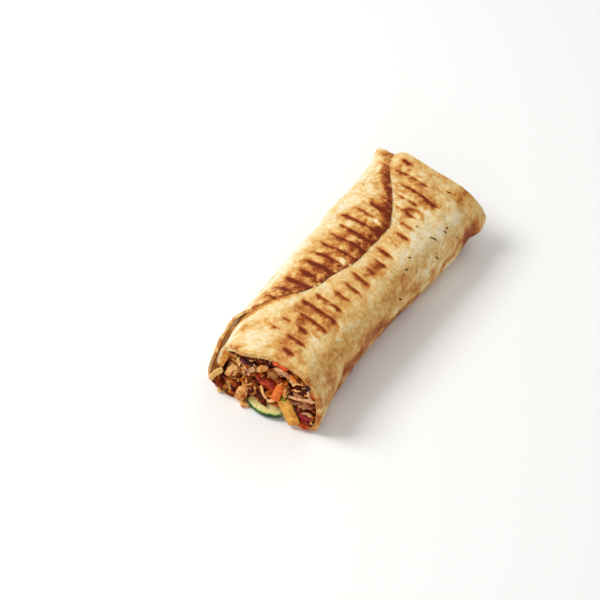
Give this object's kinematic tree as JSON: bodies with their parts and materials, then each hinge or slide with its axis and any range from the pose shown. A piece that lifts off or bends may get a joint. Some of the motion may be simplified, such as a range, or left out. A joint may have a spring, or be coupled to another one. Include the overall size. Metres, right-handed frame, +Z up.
{
  "type": "shawarma roll",
  "caption": "Grilled shawarma roll: lavash rolled round chicken and vegetables, folded shut at one end and cut open at the other.",
  "frame": {"origin": "on the surface it rests on, under the middle of its bounding box", "axes": "+Z up, +Y along the roll towards its folded end, so the cut end faces -Y, and +X to the right seen from the cut end"},
  "size_m": [0.0835, 0.1807, 0.0467],
  "materials": {
    "lavash": "toasted flatbread, cream with grill marks, matt with a faint oily sheen",
    "spiced_meat": "shredded grilled meat in dark red-brown sauce, moist",
    "chicken": "cooked chicken, tan and moist",
    "tomato": "wet diced tomato, red and translucent",
    "carrot": "cut carrot, bright orange and moist",
    "yellow_pepper": "yellow-orange pepper strip, moist",
    "onion": "softened onion, pinkish and translucent",
    "white_cabbage": "pale yellow cabbage shred, moist",
    "red_cabbage": "red cabbage, purple-red and moist",
    "cucumber": "cucumber slice, dark green rind and pale green flesh"
  },
  "bodies": {
    "root": {"flatbread": "lavash", "filling": "spiced_meat", "chicken_piece_left": "chicken", "chicken_piece_low": "chicken", "tomato_piece": "tomato", "carrot_strip": "carrot", "pepper_strip": "yellow_pepper", "onion_strip_top": "onion", "onion_strip_right": "onion", "cabbage_strip": "white_cabbage", "cabbage_piece": "red_cabbage", "cucumber_slice": "cucumber"}
  },
  "joints": []
}
